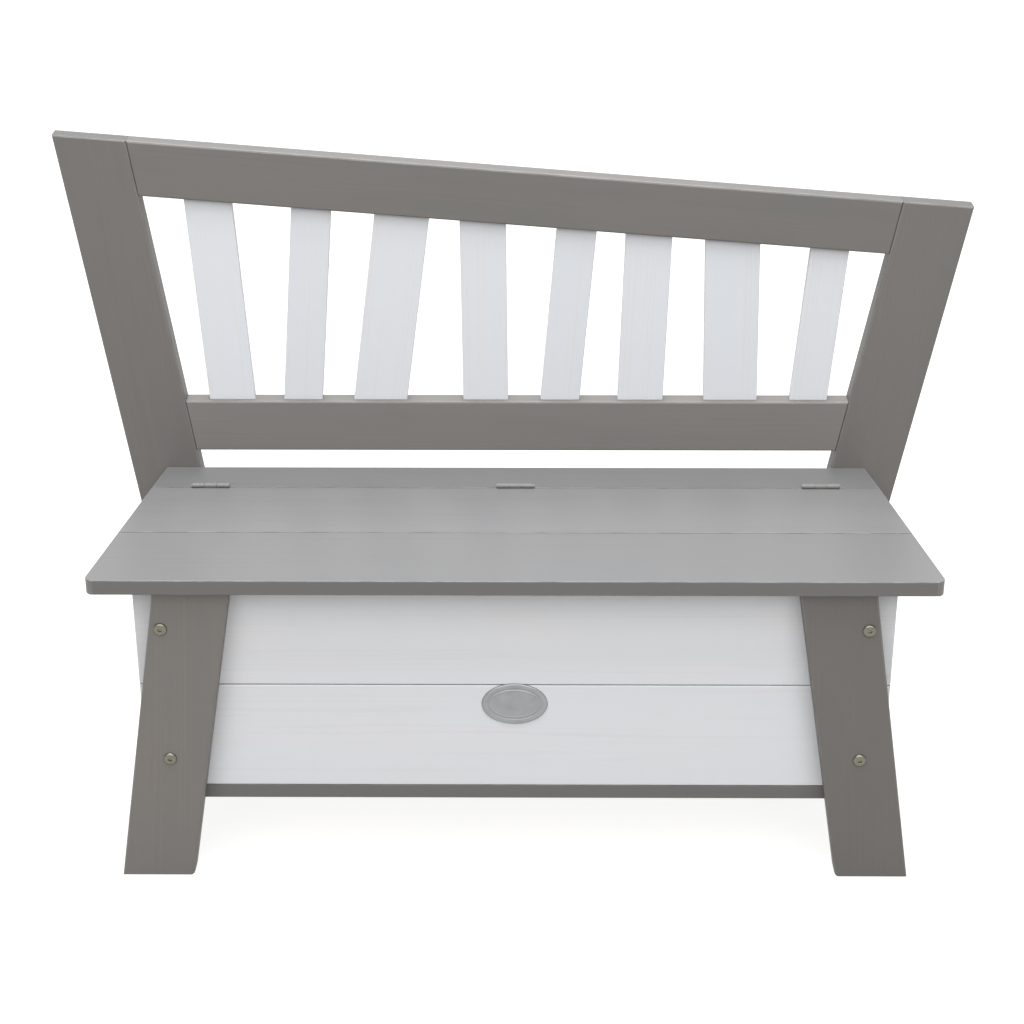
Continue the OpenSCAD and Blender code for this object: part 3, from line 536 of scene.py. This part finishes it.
def circle(radius):
    """A round loop."""
    return polar(lambda a: radius)


def hexagon(flat_to_middle):
    """A six-sided loop."""
    sixth = math.pi / 3
    return polar(lambda a: flat_to_middle / math.cos(a % sixth - sixth / 2))


def cross(reach):
    """A cross whose arms reach out this far."""
    half = reach * math.tan(ARM_STEPS * 2 * math.pi / LOOP_POINTS)

    def radius_at(a):
        longer, shorter = sorted((abs(math.cos(a)), abs(math.sin(a))), reverse=True)
        return min(reach / longer, half / max(shorter, NOT_ZERO))
    return polar(radius_at)


def turn(bm, place, stack):
    """Skins a stack of (loop, height) pairs in millimetres and closes both of its ends."""
    rings = [[bm.verts.new(place @ (Vector((x, y, z)) * MM)) for x, y in loop]
             for loop, z in stack]
    for low, high in zip(rings, rings[1:]):
        for i in range(LOOP_POINTS):
            j = (i + 1) % LOOP_POINTS
            bm.faces.new((low[i], low[j], high[j], high[i]))
    bm.faces.new(rings[0][::-1])
    bm.faces.new(rings[-1])


def stand_for(name, bm, material, sharp):
    """Makes a piece that takes a CAD node's place. Edges over so many degrees stay sharp."""
    mesh = bpy.data.meshes.new(name + "_detail")
    bmesh.ops.recalc_face_normals(bm, faces=bm.faces)
    bm.to_mesh(mesh)
    bm.free()
    mesh.shade_smooth()
    mesh.set_sharp_from_angle(angle=math.radians(sharp))
    mesh.materials.append(material)
    piece = bpy.data.objects.new(name + "_detail", mesh)
    bpy.context.scene.collection.objects.link(piece)
    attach(piece, body_of[name])
    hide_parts(name)
    print(piece.name, len(mesh.polygons), "faces")


print("a hexagon socket's corner lies", round(hexagon(2)[0][0], 2), "mm out")

# %% [markdown]
# ## Where the fasteners are
# The CAD model holds each kind of fastener as one node with several solids. Each
# solid's longest side is its axis, and its wider end is the head.

# %% Find the fasteners in a node
SAME_POINT = 1e-6      # metres
END_SHARE = 0.25       # the share of the length that counts as an end


def solids(name):
    """The points of each separate solid of a CAD node."""
    bm = bmesh.new()
    bm.from_mesh(nodes[name].data)
    bmesh.ops.remove_doubles(bm, verts=bm.verts, dist=SAME_POINT)
    left = set(bm.verts)
    found = []
    while left:
        group, edge = [], [left.pop()]
        while edge:
            vert = edge.pop()
            group.append(vert.co.copy())
            near = {link.other_vert(vert) for link in vert.link_edges} & left
            left -= near
            edge += near
        found.append(group)
    bm.free()
    return found


def fasteners(name):
    """For each head a matrix, with Z pointing out of it, its radius and the length in mm."""
    made = []
    for points in solids(name):
        low = Vector([min(p[i] for p in points) for i in range(3)])
        high = Vector([max(p[i] for p in points) for i in range(3)])
        size = high - low
        axis = max(range(3), key=lambda i: size[i])
        unit = AXES[axis]
        middle = (low + high) / 2
        radius = {}
        for sign in (1, -1):
            end_from = (0.5 - END_SHARE) * size[axis]
            end = [p - middle for p in points if sign * (p - middle)[axis] > end_from]
            radius[sign] = max((p - unit * p[axis]).length for p in end)
        sign = max(radius, key=radius.get)
        place = Matrix.Translation(middle + unit * sign * size[axis] / 2)
        made.append((place @ (unit * sign).to_track_quat("Z", "X").to_matrix().to_4x4(),
                     radius[sign] / MM, size[axis] / MM))
    return sorted(made, key=lambda item: [round(v, 4) for v in item[0].translation])


print(len(fasteners("leg_bolts")), "leg bolts found")

# %% [markdown]
# ## Screws
# Wood screws hold the battens, the bottom and the hinges. Their flat heads sit in
# countersinks and have a cross recess that narrows downwards, pressed in by a punch.
# They show when the lid is open, and from below.

# %% Screws with a cross recess
RECESS_REACH = 0.56    # sizes below are shares of the head's radius
RECESS_DEPTH = 0.45
RECESS_TAPER = 0.45
SHANK = 0.5
FLAT = 0.93            # radius of the head's flat top
LAND = 0.03            # height of the head's blunt rim
TIP = 0.02
MOUTH = (0.9, 0.08)    # the recess narrows to this share of its reach, this deep
SCREW_TURN = 1.3       # radians from one screw's recess to the next
SHARP = 35             # degrees from which a fastener's edges stay sharp
for name in ("hinge_screws_fixed", "hinge_screws_lid", "lid_batten_screws", "panel_screws",
             "batten_screws", "bottom_screws", "ledge_screws"):
    bm = bmesh.new()
    for count, (place, head, length) in enumerate(fasteners(name)):
        reach = RECESS_REACH * head
        shank = SHANK * head
        turn(bm, place @ Matrix.Rotation(SCREW_TURN * count, 4, "Z"), [
            (cross(RECESS_TAPER * reach), -RECESS_DEPTH * head),
            (cross(MOUTH[0] * reach), -MOUTH[1] * head), (cross(reach), 0),
            (circle(FLAT * head), 0), (circle((1 - LAND) * head), -LAND * head),
            (circle(shank), -shank), (circle(shank), head - length), (circle(TIP * head), -length)])
    stand_for(name, bm, zinc, SHARP)

# %% [markdown]
# ## Bolts
# The legs and the posts are bolted through the box's walls, so that the bench can be
# sent flat and put together at home. The bolts' low domed heads have a hexagon
# socket, and their edge is rounded.

# %% Bolts with a domed head
BOLT_HEAD_H = 3.0
BOLT_SHANK_R = 3.0
SOCKET_FLAT = 2.0      # from the middle to a flat, for a 4 mm key
SOCKET_D = 1.8
SOCKET_BEVEL = 0.2
SOCKET_POINT = 0.1     # the socket's floor dips to this small hexagon
CROWN = 2.8            # radius of the flat crown round the socket
RIM_H = 0.6            # height of the head's upright rim
DOME_STEPS = 8
BOLT_TURN = 0.9        # radians from one bolt's socket to the next
for name in ("leg_bolts", "post_bolts"):
    bm = bmesh.new()
    for count, (place, head, length) in enumerate(fasteners(name)):
        under = place @ Matrix.Translation((0, 0, -BOLT_HEAD_H * MM))
        turns = [math.pi / 2 * i / DOME_STEPS for i in range(DOME_STEPS + 1)]
        dome = [(circle(CROWN + (head - CROWN) * math.cos(a)),
                 RIM_H + (BOLT_HEAD_H - RIM_H) * math.sin(a)) for a in turns]
        turn(bm, under @ Matrix.Rotation(BOLT_TURN * count, 4, "Z"), [
            (circle(BOLT_SHANK_R), BOLT_HEAD_H - length), (circle(BOLT_SHANK_R), 0),
            (circle(head), 0), *dome, (hexagon(SOCKET_FLAT + SOCKET_BEVEL), BOLT_HEAD_H),
            (hexagon(SOCKET_FLAT), BOLT_HEAD_H - SOCKET_BEVEL),
            (hexagon(SOCKET_FLAT), BOLT_HEAD_H - SOCKET_D),
            (hexagon(SOCKET_POINT), BOLT_HEAD_H - SOCKET_D - SOCKET_BEVEL)])
    stand_for(name, bm, zinc, SHARP)

# %% [markdown]
# ## The badge
# The badge is a cast oval with a rounded rim. A groove runs round its face, and the
# field inside is slightly crowned. Ovals drawn in from the rim by a growing margin
# give all of that with the same stack of loops. Two pins hold it to the wall.

# %% Badge
BADGE_T = 2.0
# margin from the rim and height over the wall, from the rim inwards, in mm
BADGE_STEPS = ((0, 0), (0, 0.8), (0.25, 1.25), (0.8, 1.7), (1.6, 1.95), (2.4, 2.0), (4.6, 1.85),
               (5.6, 1.5), (6.2, 1.1), (6.8, 1.1), (7.3, 1.6), (7.8, 1.75), (8.4, 1.7), (9, 1.3),
               (9.6, 1.2), (12, 1.35), (16, 1.55), (20, 1.65), (23, 1.68))
BADGE_PIN_R = 1.5
BADGE_PIN_L = 8
BADGE_PIN_TOP = 0.5    # a pin ends this far inside the plate
BADGE_SHARP = 60       # degrees: only the plate's back edge and the pins stay sharp
low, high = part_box("badge")
half_w = (high.x - low.x) / 2 / MM
half_h = (high.z - low.z) / 2 / MM


def oval(inset):
    """The badge's outline, drawn in by a margin."""
    angles = [2 * math.pi * i / LOOP_POINTS for i in range(LOOP_POINTS)]
    return [((half_w - inset) * math.cos(a), (half_h - inset) * math.sin(a)) for a in angles]


bm = bmesh.new()
middle = Matrix.Translation(((low.x + high.x) / 2, low.y + BADGE_T * MM, (low.z + high.z) / 2))
middle = middle @ Matrix.Rotation(math.pi / 2, 4, "X")
turn(bm, middle, [(oval(inset), height) for inset, height in BADGE_STEPS])
for side in (-1, 1):
    pin = middle @ Matrix.Translation((side * half_w / 2 * MM, 0, 0))
    turn(bm, pin, [(circle(BADGE_PIN_R), -BADGE_PIN_L), (circle(BADGE_PIN_R), BADGE_PIN_TOP)])
stand_for("badge", bm, cast_zinc, BADGE_SHARP)
